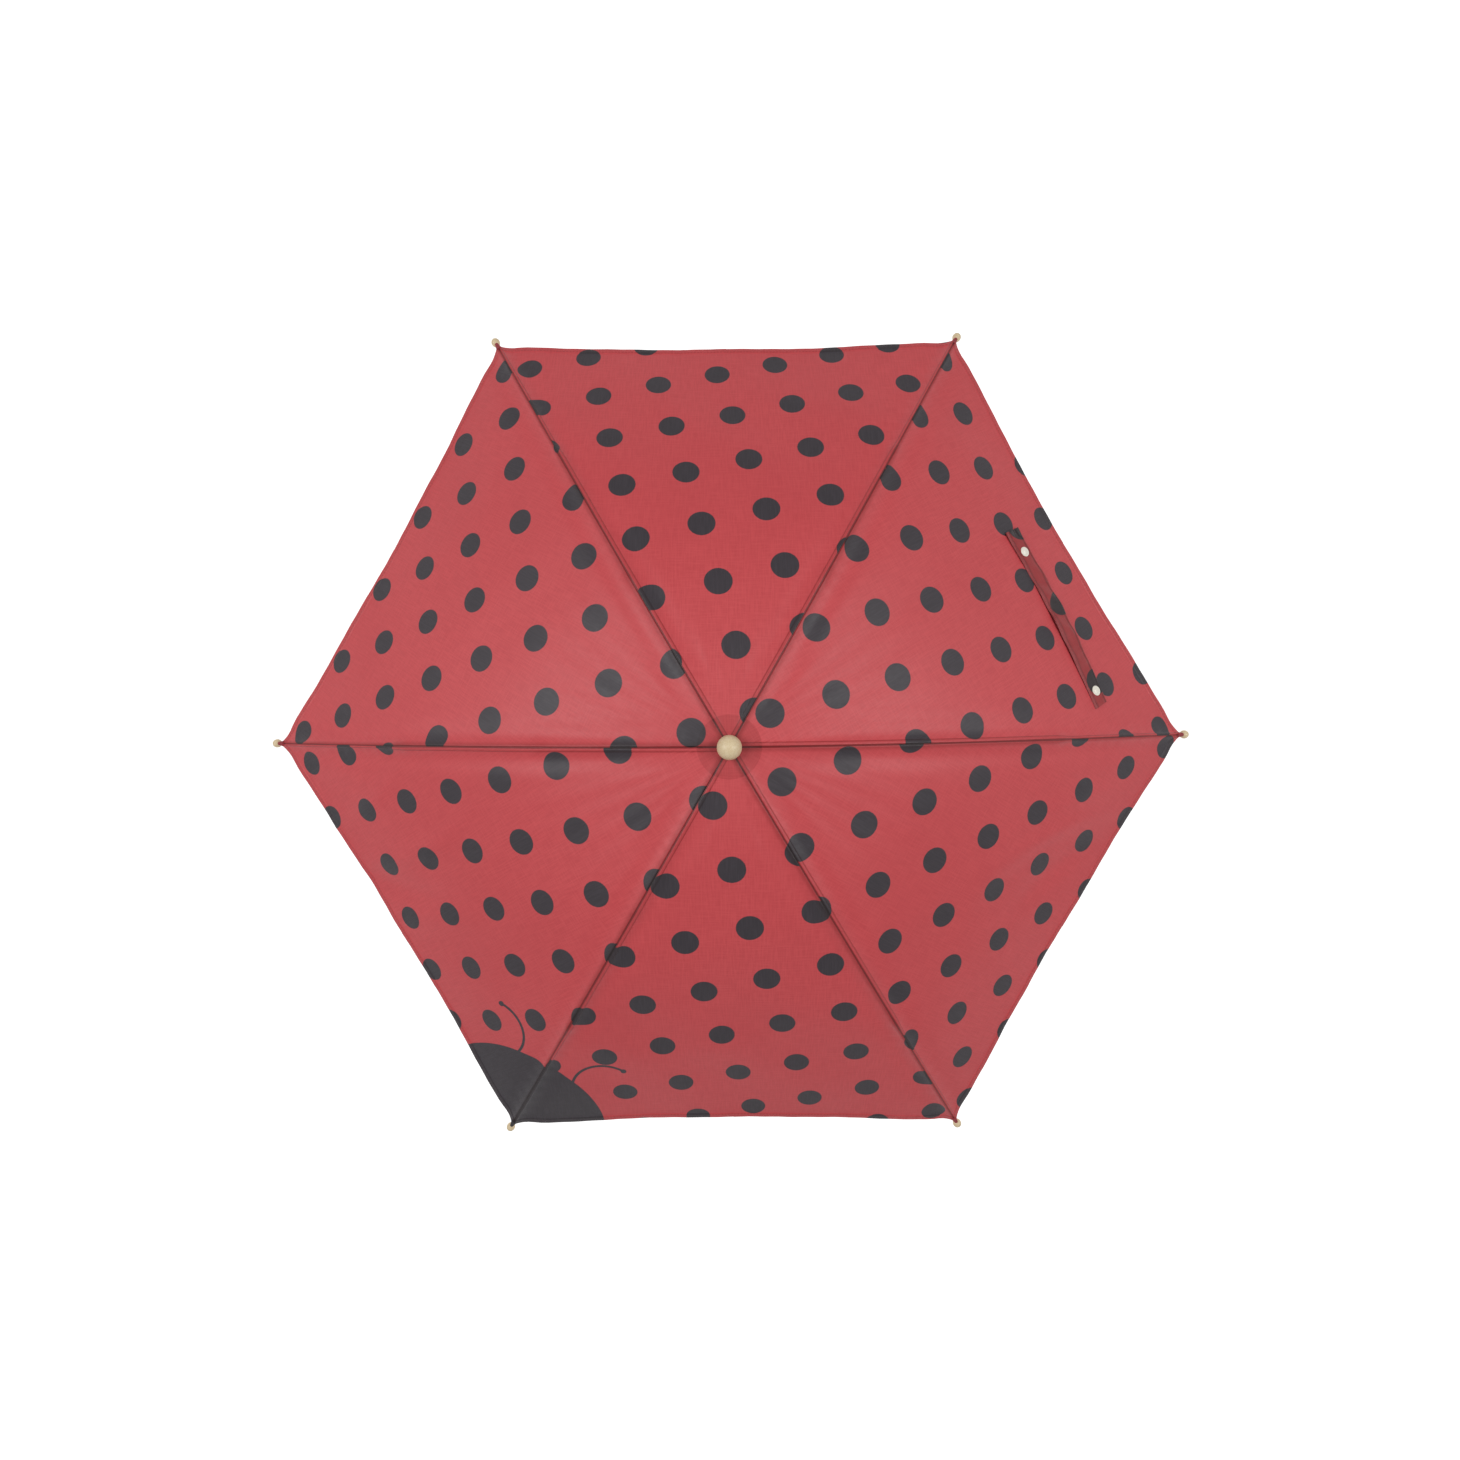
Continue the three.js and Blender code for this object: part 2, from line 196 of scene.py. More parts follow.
def cloth_material():
    """Satin-woven polyester, red with a print of dark dots; the print is on both faces."""
    s = Shader("printed_cloth")
    cut = s.attribute("cut")
    print_at = s.split(s.attribute("print"))
    edges = s.split(s.attribute("edges"))
    corner = s.split(s.attribute("corner"))

    def off_centre(value):
        return s.math("SUBTRACT", s.math("FRACT", s.math("ADD", value, 0.5)), 0.5)

    dx, dy = off_centre(print_at[0]), off_centre(print_at[1])
    off = s.math("SQRT", s.math("ADD", s.math("MULTIPLY", dx, dx), s.math("MULTIPLY", dy, dy)))
    ragged = s.math("MULTIPLY", s.math("SUBTRACT", s.noise(900.0, 2.0, cut), 0.5), 0.006)
    radius = DOT_RADIUS / DOT_PITCH
    dot = s.step(radius + 0.006, radius - 0.006, s.math("ADD", off, ragged))

    across = s.math("ABSOLUTE", corner[1])

    def away(x, y):
        return s.math(
            "SQRT",
            s.math(
                "ADD",
                s.math("POWER", s.math("SUBTRACT", corner[0], x), 2.0),
                s.math("POWER", s.math("SUBTRACT", across, y), 2.0),
            ),
        )

    tip = away(TIP_RADIUS, 0.0)
    patch = s.step(CORNER_RADIUS + 0.0003, CORNER_RADIUS - 0.0003, tip)
    ring = s.math("ABSOLUTE", s.math("SUBTRACT", away(*FEELER["centre"]), FEELER["radius"]))
    feeler = s.step(FEELER["half_width"] + 0.0003, FEELER["half_width"] - 0.0003, ring)
    feeler = s.math("MULTIPLY", feeler, s.math("LESS_THAN", corner[0], FEELER["root_x"]))
    feeler = s.math("MULTIPLY", feeler, s.math("LESS_THAN", across, FEELER["centre"][1] + 0.004))
    knob_x = FEELER["centre"][0] - FEELER["radius"]
    knob = s.step(0.0030, 0.0024, away(knob_x + 0.0004, FEELER["centre"][1] + 0.005))
    dark = s.math("MAXIMUM", s.math("MAXIMUM", dot, patch), s.math("MAXIMUM", feeler, knob))

    # uneven dye, warp streaks and a slow drift of tone
    streaks = s.noise(60.0, 4.0, s.scaled(cut, (14.0, 1.0, 1.0)))
    picks = s.noise(60.0, 4.0, s.scaled(cut, (1.0, 14.0, 1.0)))
    drift = s.noise(7.0, 2.0, cut)
    red = s.mix(s.step(0.35, 0.68, streaks), (0.500, 0.048, 0.056, 1), (0.560, 0.060, 0.068, 1))
    red = s.mix(s.math("MULTIPLY", s.step(0.4, 0.7, picks), 0.5), red, (0.600, 0.072, 0.080, 1))
    red = s.mix(s.math("MULTIPLY", s.step(0.3, 0.8, drift), 0.35), red, (0.470, 0.040, 0.048, 1))
    ink = s.mix(s.step(0.35, 0.7, streaks), (0.028, 0.021, 0.027, 1), (0.037, 0.028, 0.036, 1))
    colour = s.mix(dark, red, ink)

    # edges = signed distance from the seam in seam widths, distance from the hem, distance from the crown
    off_seam = s.math("ABSOLUTE", edges[0])
    # painted shade: the groove along the middle of each seam is darkened in the colour
    groove = s.step(0.34, 0.10, off_seam)
    tape = s.math("MULTIPLY", s.step(-0.02, 0.04, edges[0]), s.step(1.10, 0.98, edges[0]))
    line = s.math("MULTIPLY", s.step(0.80, 0.98, edges[0]), s.step(1.28, 1.06, edges[0]))
    # painted shade: the valley on the seam's open side is darkened in the colour
    painted_valley_shade = s.math("MULTIPLY", s.step(-1.7, -0.3, edges[0]), s.step(0.02, -0.04, edges[0]))
    # the tape, its edge line, the lining showing through at the crown, the hem's fold, the stitches and the
    # strap's darker cloth are tones of the cloth itself
    painted_shade_and_tone = s.math("SUBTRACT", 1.0, s.math("MULTIPLY", tape, 0.14))
    painted_shade_and_tone = s.math("SUBTRACT", painted_shade_and_tone, s.math("MULTIPLY", line, 0.26))
    # painted shade of the valley beside the seam, then of the groove along its middle
    painted_shade_and_tone = s.math("SUBTRACT", painted_shade_and_tone, s.math("MULTIPLY", painted_valley_shade, 0.30))
    painted_shade_and_tone = s.math("MULTIPLY", painted_shade_and_tone, s.math("SUBTRACT", 1.0, s.math("MULTIPLY", groove, 0.58)))
    painted_shade_and_tone = s.math("SUBTRACT", painted_shade_and_tone, s.split(cut)[2])
    lining = s.step(0.0252, 0.0244, edges[2])
    painted_shade_and_tone = s.math("SUBTRACT", painted_shade_and_tone, s.math("MULTIPLY", lining, 0.17))
    fold = s.step(HEM_FOLD + 0.0004, HEM_FOLD - 0.0002, edges[1])
    painted_shade_and_tone = s.math("SUBTRACT", painted_shade_and_tone, s.math("MULTIPLY", fold, 0.10))
    stitch_row = s.step(0.0005, 0.0002, s.math("ABSOLUTE", s.math("SUBTRACT", edges[1], HEM_FOLD - 0.0012)))
    along = s.split(cut)[0]
    dashes = s.step(0.18, 0.30, s.math("PINGPONG", s.math("MULTIPLY", along, 330.0), 0.5))
    stitch = s.math("MULTIPLY", stitch_row, dashes)
    painted_shade_and_tone = s.math("SUBTRACT", painted_shade_and_tone, s.math("MULTIPLY", stitch, 0.30))
    deeper = s.math("POWER", s.math("MAXIMUM", painted_shade_and_tone, 0.0), 1.8)
    tint = s.node("ShaderNodeCombineColor", {"Red": painted_shade_and_tone, "Green": deeper, "Blue": deeper}).outputs[0]
    colour = s.mix(1.0, colour, tint, "MULTIPLY")

    # satin weave: long floats one way, broken by a diagonal
    uv = s.split(cut)
    twill = s.math("SINE", s.math("MULTIPLY", s.math("ADD", uv[0], s.math("MULTIPLY", uv[1], 0.4)), 9000.0))
    weft = s.math("SINE", s.math("MULTIPLY", uv[1], 14000.0))
    weave = s.math("ADD", s.math("MULTIPLY", twill, 0.5), s.math("MULTIPLY", weft, 0.3))
    weave = s.math("ADD", weave, s.math("MULTIPLY", s.noise(1400.0, 2.0, cut), 1.4))
    height = s.math("SUBTRACT", weave, s.math("MULTIPLY", stitch, 2.5))
    s.bump(height, 0.22, 0.00012)
    rough = s.math("ADD", 0.42, s.math("MULTIPLY", s.noise(240.0, 3.0, cut), 0.16))
    return s.finish(
        Base_Color=colour,
        Roughness=rough,
        Specular_IOR_Level=0.55,
        Sheen_Weight=0.05,
        Sheen_Roughness=0.4,
    )


def wood_material():
    """Pale turned beech under a matt lacquer."""
    s = Shader("pale_wood")
    place = s.place()
    grain = s.noise(42.0, 5.0, s.scaled(place, (9.0, 9.0, 1.1)))
    pores = s.noise(320.0, 3.0, s.scaled(place, (6.0, 6.0, 1.0)))
    rings = s.math("SINE", s.math("MULTIPLY", grain, 38.0))
    colour = s.mix(s.step(-0.9, 0.9, rings), (0.640, 0.500, 0.300, 1), (0.700, 0.570, 0.370, 1))
    colour = s.mix(s.math("MULTIPLY", s.step(0.58, 0.72, pores), 0.35), colour, (0.500, 0.360, 0.200, 1))
    s.bump(s.math("ADD", grain, s.math("MULTIPLY", pores, 0.4)), 0.18, 0.0003)
    rough = s.math("ADD", 0.36, s.math("MULTIPLY", pores, 0.18))
    return s.finish(Base_Color=colour, Roughness=rough, Specular_IOR_Level=0.45, Coat_Weight=0.12)


def steel_material():
    """Zinc-plated steel, drawn lengthwise."""
    s = Shader("plated_steel")
    place = s.place()
    drawn = s.noise(300.0, 3.0, s.scaled(place, (6.0, 6.0, 0.25)))
    cloud = s.noise(45.0, 3.0, place)
    colour = s.mix(s.step(0.35, 0.65, cloud), (0.520, 0.525, 0.535, 1), (0.640, 0.640, 0.645, 1))
    s.bump(drawn, 0.12, 0.0001)
    rough = s.math("ADD", 0.22, s.math("MULTIPLY", drawn, 0.22))
    return s.finish(Base_Color=colour, Metallic=1.0, Roughness=rough)


def plastic_material(name, dark, light, roughness):
    """Moulded plastic with a fine spark-eroded texture."""
    s = Shader(name)
    place = s.place()
    texture = s.noise(1500.0, 2.0, place)
    cloud = s.noise(60.0, 3.0, place)
    s.bump(texture, 0.15, 0.0001)
    rough = s.math("ADD", roughness, s.math("MULTIPLY", cloud, 0.12))
    colour = s.mix(s.step(0.35, 0.7, cloud), (*dark, 1), (*light, 1))
    return s.finish(Base_Color=colour, Roughness=rough, Specular_IOR_Level=0.5)


def fibreglass_material():
    """Pultruded rod: glass strands show as fine streaks under dark resin."""
    s = Shader("fibreglass")
    place = s.place()
    strands = s.noise(700.0, 3.0, place)
    s.bump(strands, 0.1, 0.00008)
    colour = s.mix(s.step(0.4, 0.7, strands), (0.018, 0.018, 0.020, 1), (0.045, 0.045, 0.050, 1))
    return s.finish(Base_Color=colour, Roughness=0.42, Coat_Weight=0.2)


def floor_material():
    s = Shader("pale_floor")
    tone = s.noise(3.0, 2.0, s.place())
    colour = s.mix(tone, (0.86, 0.86, 0.86, 1), (0.90, 0.90, 0.90, 1))
    return s.finish(Base_Color=colour, Roughness=0.8, Emission_Color=(1, 1, 1, 1), Emission_Strength=0.70)


PRINTED = cloth_material()
WOOD = wood_material()
STEEL = steel_material()
BLACK = plastic_material("black_plastic", (0.018, 0.018, 0.020), (0.032, 0.032, 0.035), 0.40)
CREAM = plastic_material("cream_plastic", (0.80, 0.76, 0.66), (0.86, 0.83, 0.74), 0.25)
ROD = fibreglass_material()


# ---------------------------------------------------------------- mesh helpers


def add_mesh(name, vertices, faces, material, normals=None):
    mesh = bpy.data.meshes.new(name)
    mesh.from_pydata([tuple(v) for v in vertices], [], [tuple(f) for f in faces])
    mesh.materials.append(material)
    mesh.polygons.foreach_set("use_smooth", [True] * len(mesh.polygons))
    mesh.update()
    if normals is None:
        mesh.set_sharp_from_angle(angle=math.radians(38))
    else:
        mesh.normals_split_custom_set_from_vertices([tuple(n) for n in normals])
    made = bpy.data.objects.new(name, mesh)
    bpy.context.scene.collection.objects.link(made)
    return made


def grid_faces(rows, columns, first=0, flip=False):
    i, j = np.meshgrid(np.arange(rows - 1), np.arange(columns - 1), indexing="ij")
    a = (first + i * columns + j).ravel()
    quads = np.stack([a, a + columns, a + columns + 1, a + 1], 1)
    return quads[:, ::-1] if flip else quads


def revolve(profile, segments=64):
    """Vertices and faces of a closed [radius, height] profile turned about +z."""
    points = np.array(profile, float)
    turn = np.arange(segments) * 2 * math.pi / segments
    vertices, faces, rings = [], [], []
    for radius, height in points:
        first = len(vertices)
        if radius < 1e-9:
            vertices.append((0.0, 0.0, height))
            rings.append([first] * segments)
        else:
            vertices += [(radius * math.cos(t), radius * math.sin(t), height) for t in turn]
            rings.append(list(range(first, first + segments)))
    for below, above in zip(rings, rings[1:] + rings[:1]):
        if below[0] == below[1] and above[0] == above[1]:
            continue
        for k in range(segments):
            quad = [below[k], below[(k + 1) % segments], above[(k + 1) % segments], above[k]]
            face = [v for n, v in enumerate(quad) if v != quad[n - 1]]
            faces.append(face)
    return vertices, faces


def rounded(profile, radius, steps=4):
    """The same closed profile with its corners off the axis rounded."""
    points = [Vector(p) for p in profile]
    out = []
    for n, here in enumerate(points):
        back, ahead = points[n - 1] - here, points[(n + 1) % len(points)] - here
        if here.x < 1e-9 or back.length < 1e-9 or ahead.length < 1e-9:
            out.append(tuple(here))
            continue
        reach = min(radius, back.length * 0.45, ahead.length * 0.45)
        start, end = here + back.normalized() * reach, here + ahead.normalized() * reach
        for k in range(steps + 1):
            t = k / steps
            out.append(tuple(start * (1 - t) ** 2 + here * 2 * t * (1 - t) + end * t**2))
    return out


def arc(centre, radius, start, end, steps):
    """Points of a round stretch of profile, angles in degrees from +radius towards +height."""
    angles = np.radians(np.linspace(start, end, steps + 1))
    return [(max(0.0, centre[0] + radius * math.cos(a)), centre[1] + radius * math.sin(a)) for a in angles]


def turned(name, profile, material, body, node=None, segments=64, place=None):
    vertices, faces = revolve(profile, segments)
    made = add_mesh(name, vertices, faces, material)
    if place is not None:
        made.data.transform(place)
    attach(made, body)
    if node:
        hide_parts(node)
    return made


# ---------------------------------------------------------------- the canopy


def fold_marks():
    """Soft creases: (azimuth in degrees, radius, direction in degrees, half length, half width, height)."""
    return [
        (199.0, 0.292, 205.0, 0.055, 0.010, 0.0020),
        (204.0, 0.330, 170.0, 0.040, 0.012, -0.0016),
        (190.0, 0.335, 214.0, 0.050, 0.009, 0.0014),
        (212.0, 0.300, 196.0, 0.045, 0.014, 0.0012),
        (344.0, 0.300, 20.0, 0.060, 0.010, 0.0018),
        (338.0, 0.318, 32.0, 0.050, 0.012, -0.0014),
        (350.0, 0.315, 12.0, 0.045, 0.010, 0.0013),
        (331.0, 0.250, 60.0, 0.050, 0.016, 0.0008),
        (150.0, 0.250, 96.0, 0.070, 0.018, 0.0008),
        (35.0, 0.230, 140.0, 0.070, 0.020, 0.0007),
        (88.0, 0.190, 10.0, 0.060, 0.020, 0.0006),
        (262.0, 0.280, 186.0, 0.060, 0.018, 0.0007),
    ]


def relief(x, y, arm):
    """How far the cloth stands off its smooth curve, at x along and y across an arm."""
    ay = np.abs(y)
    turn = arm_turn(arm)
    wx = x * math.cos(turn) - y * math.sin(turn)
    wy = x * math.sin(turn) + y * math.cos(turn)
    radius = np.hypot(wx, wy)
    spread = smooth(0.006, 0.03, radius)

    narrow = smooth(OUTER_FOLD - 0.012, OUTER_FOLD + 0.012, x)
    seam = SEAM_INNER * (1 - narrow) + SEAM_OUTER * narrow
    ridge = 0.0010 * np.exp(-((ay / (seam * 1.5)) ** 2))
    tape = 0.0004 * smooth(seam * 1.15, seam * 0.95, ay) * (y * SEAM_PRESSED[arm] >= 0)
    groove = -0.0009 * np.exp(-((ay / 0.0007) ** 2))
    pull = -0.0014 * np.exp(-(((ay - 0.011) / 0.008) ** 2)) * smooth(0.02, 0.09, x)
    knuckle = 0.0016 * np.exp(-(((x - OUTER_FOLD) / 0.010) ** 2) - (ay / 0.0048) ** 2)
    knuckle += 0.0009 * np.exp(-(((x - INNER_FOLD) / 0.008) ** 2) - (ay / 0.0048) ** 2)
    height = (ridge + tape + groove + pull) * spread + knuckle

    # ripples that the stitches draw in, across each seam
    ripple = np.sin(x * 2 * math.pi / 0.0127 + 2.0 * np.sin(x * 31.0 + arm))
    height += 0.00009 * ripple * np.exp(-(((ay - 0.006) / 0.006) ** 2)) * spread

    # the hem's double fold and its slight waves
    share = 2 * ay / math.sqrt(3) / np.maximum(x + ay * TAN, 1e-6)
    to_hem = (HEM_AT_TIP - HEM_HOLLOW * 4 * share * (1 - share)) - (x + ay * TAN)
    height += 0.0004 * smooth(HEM_FOLD + 0.0006, HEM_FOLD - 0.0006, to_hem)
    height += 0.00012 * np.sin(y * 2 * math.pi / 0.023) * np.exp(-to_hem / 0.012)

    # slow unevenness of the stretched cloth
    slow = np.sin(wx * 41 + 1.7 * np.sin(wy * 23)) * np.sin(wy * 37 + 1.3 * np.sin(wx * 19 + 0.8))
    height += 0.0007 * slow * smooth(0.03, 0.15, radius)
    fan = np.sin(np.arctan2(wy, wx) * 42 + 6 * radius / TIP_RADIUS)
    height += 0.0001 * fan * smooth(0.02, 0.08, radius) * smooth(0.30, 0.12, radius)

    for azimuth, far, direction, half_length, half_width, rise in fold_marks():
        a, d = math.radians(azimuth), math.radians(direction)
        px, py = wx - far * math.cos(a), wy - far * math.sin(a)
        along = px * math.cos(d) + py * math.sin(d)
        across = -px * math.sin(d) + py * math.cos(d) + along**2 * 2.2
        height = height + rise * np.exp(-((along / half_length) ** 2) - (across / half_width) ** 2)
    return height


def cloth_point(x, y, arm):
    """The cloth's outer face over an arm, in the arm's own frame with z from the apex."""
    s = x + np.abs(y) * TAN
    m = steepness(s)
    side = np.where(y < 0, -1.0, 1.0)
    normal = np.stack([m, m * TAN * side, np.ones_like(m)], -1)
    normal /= np.linalg.norm(normal, axis=-1, keepdims=True)
    base = np.stack([x, y, -drop(s) + CLOTH_LIFT], -1)
    return base + normal * relief(x, y, arm)[..., None]


def cloth_normal(x, y, arm, side):
    """By differences that stay on one side of the seam."""
    step = 0.0002
    y0 = np.where(np.abs(y) < step, 0.0, y - side * step)
    dx = cloth_point(x + step, y, arm) - cloth_point(x - step, y, arm)
    dy = (cloth_point(x, y + side * step, arm) - cloth_point(x, y0, arm)) * side
    normal = np.cross(dx, dy)
    return normal / np.linalg.norm(normal, axis=-1, keepdims=True)


def hem_x(y):
    """Where the hem is at a distance across the arm."""
    share = np.zeros_like(y)
    for _ in range(12):
        s = HEM_AT_TIP - HEM_HOLLOW * 4 * share * (1 - share)
        share = y / (s * math.sin(2 * MID))
    return s * (1 - share / 2)


SEAM_COLUMNS = np.array([0, 0.5, 1.2, 1.7, 2.2, 2.8, 3.3, 3.8, 4.8, 6.5, 9.0, 12.5, 17.0]) / 1000
WIDE_COLUMNS = 26


def columns_to(reach):
    """Distances across, from the rib to reach: close together by the seam, even beyond it."""
    tight = SEAM_COLUMNS * min(1.0, reach / 0.030)
    wide = np.linspace(tight[-1], reach, WIDE_COLUMNS + 1)[1:]
    return np.concatenate([tight, wide])


def square_to_rib(start, y):
    """Where the cloth meets the plane that stands square to the rib at start, at a distance y across."""
    x = np.full_like(y, start)
    for _ in range(30):
        x = start - (drop(x + y * TAN) - drop(start)) * steepness(start)
    return x


def cross_line(start):
    reach = np.array([start * TAN])
    for _ in range(30):
        reach = square_to_rib(start, reach) * TAN
    y = columns_to(float(reach[0]))
    return np.stack([square_to_rib(start, y), y], -1)


def hem_line():
    reach = (HEM_AT_TIP - HEM_HOLLOW) * math.sin(MID) * COS
    y = columns_to(reach)
    return np.stack([hem_x(y), y], -1)


def zone_grid(zone):
    """Rows of [x, y] over half a panel's width, from the zone's inner edge to its outer one."""
    if zone == "inner":
        return np.stack([cross_line(x) for x in np.linspace(CROWN_HOLE, INNER_FOLD - ZONE_GAP, 40)])
    if zone == "middle":
        return np.stack([cross_line(x) for x in np.linspace(INNER_FOLD, OUTER_FOLD - ZONE_GAP, 36)])
    start, end = cross_line(OUTER_FOLD), hem_line()
    length = np.linalg.norm(end - start, axis=-1)
    near_hem = np.array([0, 0.6, 1.6, 3.2, 4.8, 5.3, 5.8, 6.4, 8.5]) / 1000
    rows = []
    count = 32
    for k in range(count):
        back = (1 - k / count) * (length - near_hem[-1]) + near_hem[-1]
        rows.append(end + (start - end) * (back / length)[:, None])
    for back in near_hem[::-1]:
        rows.append(end + (start - end) * (back / length)[:, None])
    return np.stack(rows)


ARC_TABLE_S = np.linspace(0, TIP_RADIUS, 400)
ARC_TABLE = np.concatenate([[0], np.cumsum(np.hypot(np.diff(ARC_TABLE_S) * COS, np.diff(drop(ARC_TABLE_S))))])


def flat_place(x, y, side):
    """Where a point of an arm lies on its flat panel: across from its middle, and out from the crown."""
    s = x + np.abs(y) * TAN
    radius, turn = np.hypot(x, y), np.arctan2(y, x) - side * MID
    return radius * np.sin(turn), np.interp(s, ARC_TABLE_S, ARC_TABLE)


def set_attribute(mesh, name, values):
    attribute = mesh.attributes.new(name, "FLOAT_VECTOR", "POINT")
    attribute.data.foreach_set("vector", np.asarray(values, np.float32).ravel())


def lattice(u, v, cut):
    angle, first, second = cut
    c, s = math.cos(math.radians(angle)), math.sin(math.radians(angle))
    return (u * c + v * s) / DOT_PITCH - first, (v * c - u * s) / DOT_PITCH - second


def to_row(points, arm):
    """From an arm's frame to the row frame."""
    turn = arm_turn(arm)
    c, s = math.cos(turn), math.sin(turn)
    x, y, z = points[..., 0], points[..., 1], points[..., 2]
    return np.stack([x * c - y * s, x * s + y * c, z + APEX], -1)


def turn_only(vectors, arm):
    return to_row(vectors, arm) - np.array([0, 0, APEX])


def slab(name, outer, inner, outer_normals, inner_normals, flip, material):
    """A closed thin sheet from two grids of points."""
    rows, columns = outer.shape[:2]
    count = rows * columns
    vertices = np.concatenate([outer.reshape(-1, 3), inner.reshape(-1, 3)])
    normals = np.concatenate([outer_normals.reshape(-1, 3), inner_normals.reshape(-1, 3)])
    faces = [*grid_faces(rows, columns, 0, flip), *grid_faces(rows, columns, count, not flip)]
    rim = [j for j in range(columns)]
    rim += [i * columns + columns - 1 for i in range(1, rows)]
    rim += [(rows - 1) * columns + j for j in range(columns - 2, -1, -1)]
    rim += [i * columns for i in range(rows - 2, 0, -1)]
    for a, b in zip(rim, rim[1:] + rim[:1]):
        edge = [a, b, b + count, a + count]
        faces.append(edge[::-1] if flip else edge)
    return add_mesh(name, vertices, faces, material, normals)


def flat_area(grid):
    """Area of a zone's flat cut."""
    x, y = grid[..., 0], grid[..., 1]
    u, v = flat_place(x, y, 1)
    corners = [(u[a, b], v[a, b]) for a, b in
               ((slice(0, -1), slice(0, -1)), (slice(1, None), slice(0, -1)),
                (slice(1, None), slice(1, None)), (slice(0, -1), slice(1, None)))]
    total = 0
    for (u0, v0), (u1, v1) in zip(corners, corners[1:] + corners[:1]):
        total = total + (u0 * v1 - u1 * v0) / 2
    wide, long = float(u.max() - u.min()), float(v.max() - v.min())
    return float(np.abs(total).sum()), wide, long


ZONE_BODY = {"inner": "top_rib_{}", "middle": "middle_rib_{}", "outer": "outer_rib_{}"}
ZONE_MIDDLE = {"inner": 0.08, "middle": 0.217, "outer": 0.33}


def gather_axis(zone, side, arm):
    """The direction in the cloth, square to the rib, that a zone gathers along; and the point that stays."""
    x = ZONE_MIDDLE[zone]
    m = float(steepness(x))
    axis = np.array([0.0, side, -m * TAN])
    rib = np.array([1.0, 0.0, -m])
    axis -= rib * (axis @ rib) / (rib @ rib)
    anchor = np.array([x, 0.0, -float(drop(x))])
    anchor = anchor + axis / np.linalg.norm(axis) * PARTING[zone]
    return turn_only(axis[None], arm)[0], to_row(anchor[None], arm)[0]


def canopy_piece(zone, arm, side):
    grid = zone_grid(zone)
    x, y = grid[..., 0], grid[..., 1] * side
    outer = cloth_point(x, y, arm)
    normal = cloth_normal(x, y, arm, side)
    inner = outer - normal * CLOTH
    number = arm + 1
    name = f"canopy_{zone}_{number}_{'left' if side > 0 else 'right'}"
    flip = side < 0
    made = slab(
        name,
        to_row(outer, arm),
        to_row(inner, arm),
        turn_only(normal, arm),
        turn_only(-normal, arm),
        flip,
        PRINTED,
    )
    panel = arm if side > 0 else (arm - 1) % ARMS
    u, v = flat_place(x, y, side)
    first, second = lattice(u, v, PANEL_CUTS[panel])
    ay = np.abs(y)
    narrow = smooth(OUTER_FOLD - 0.012, OUTER_FOLD + 0.012, x)
    seam = SEAM_INNER * (1 - narrow) + SEAM_OUTER * narrow
    share = 2 * ay / math.sqrt(3) / np.maximum(x + ay * TAN, 1e-6)
    to_hem = (HEM_AT_TIP - HEM_HOLLOW * 4 * share * (1 - share)) - (x + ay * TAN)
    both = {
        "cut": (u + 1.3 * panel, v, 0 * u),
        "print": (first, second, 0 * u),
        "edges": (SEAM_PRESSED[arm] * side * ay / seam, to_hem, np.hypot(x, y)),
        "corner": (x, y, 0 * u) if arm == CORNER_ARM else (0 * u, 0 * u, 0 * u),
    }
    for attribute, parts in both.items():
        values = np.stack(parts, -1).reshape(-1, 3)
        set_attribute(made.data, attribute, np.concatenate([values, values]))
    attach(made, ZONE_BODY[zone].format(number))
    axis, anchor = gather_axis(zone, side, arm)
    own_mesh(made)
    area, wide, long = flat_area(grid)
    if zone == "inner" and side > 0:
        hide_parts(f"gore_{number}")
    return made


for arm in range(ARMS):
    for side in (1, -1):
        for zone in ZONE_BODY:
            canopy_piece(zone, arm, side)


# ---------------------------------------------------------------- strap and snap caps

STRAP_WIDTH = 0.0150
STRAP_THICK = 0.0012
STRAP_LIFT = 0.0009
STRAP_FREE_END = (0.3305, 0.0285)
STRAP_SEWN_END = (0.2525, 0.1850)
SNAP_PLACES = (0.078, 0.872)


def strap_place(along, across):
    """[x, y] in the first arm's frame of a point of the strap: share along it, distance across it."""
    start, end = np.array(STRAP_FREE_END), np.array(STRAP_SEWN_END)
    run = end - start
    square = np.array([-run[1], run[0]]) / np.linalg.norm(run)
    bow = 0.0035 * np.sin(math.pi * along)
    place = start + run * along[..., None] - square * (across + bow)[..., None]
    return place[..., 0], place[..., 1]


def strap_height(along, across):
    """Height of the strap's upper face over the cloth."""
    edge = STRAP_WIDTH / 2 - np.abs(across)
    round_edge = smooth(0.0, 0.0011, edge)
    seam = -0.00025 * np.exp(-(((edge - 0.0022) / 0.0004) ** 2))
    puckers = 0.00022 * np.sin(along * 95 + 2 * np.sin(along * 21)) * smooth(0.008, 0.002, np.abs(across))
    wrinkle = 0.0007 * np.sin(along * 34 + across * 260) * np.exp(-(((along - 0.55) / 0.3) ** 2))
    wrinkle = wrinkle + 0.0010 * np.cos(across * 900) * smooth(0.93, 1.0, along)
    lifted = 0.0012 * np.exp(-(((along - 0.45) / 0.25) ** 2))
    return STRAP_LIFT + lifted + STRAP_THICK * (0.35 + 0.65 * round_edge) + seam + puckers + wrinkle


def strap_surface(along, across, height):
    x, y = strap_place(along, across)
    # beyond the panel's middle line the slope follows the next arm, as the panel's own plane does
    s = x + y * TAN
    m = steepness(s)
    normal = np.stack([m, m * TAN, np.ones_like(m)], -1)
    normal /= np.linalg.norm(normal, axis=-1, keepdims=True)
    return np.stack([x, y, -drop(s)], -1) + normal * height[..., None]


